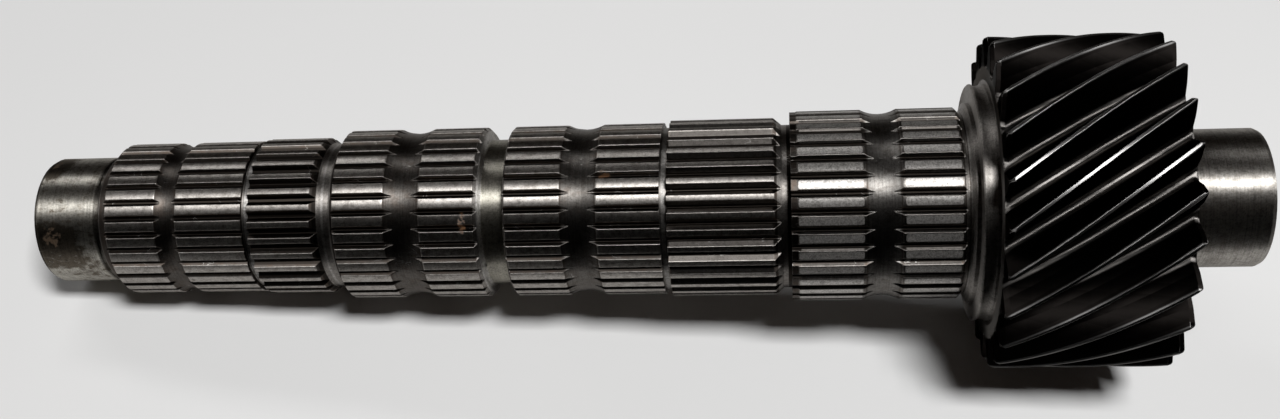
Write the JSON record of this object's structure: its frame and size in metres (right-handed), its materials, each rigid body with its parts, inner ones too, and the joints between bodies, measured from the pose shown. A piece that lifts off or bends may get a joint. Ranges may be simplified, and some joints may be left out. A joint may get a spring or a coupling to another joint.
{
  "type": "transmission output shaft",
  "caption": "Stepped transmission output shaft with a helical pinion, a thrust collar, rows of splined seats and a plain bearing journal at each end.",
  "frame": {"origin": "centre of the flat end face beside the pinion, where the shaft stands", "axes": "+Z along the shaft's axis, from the pinion end to the thin tail end; X and Y across it"},
  "size_m": [0.064, 0.064, 0.2386],
  "materials": {
    "shaft_steel": "dark oiled satin steel, brighter on the journals and worn lands"
  },
  "bodies": {
    "root": {"output_shaft": "shaft_steel"}
  },
  "joints": []
}
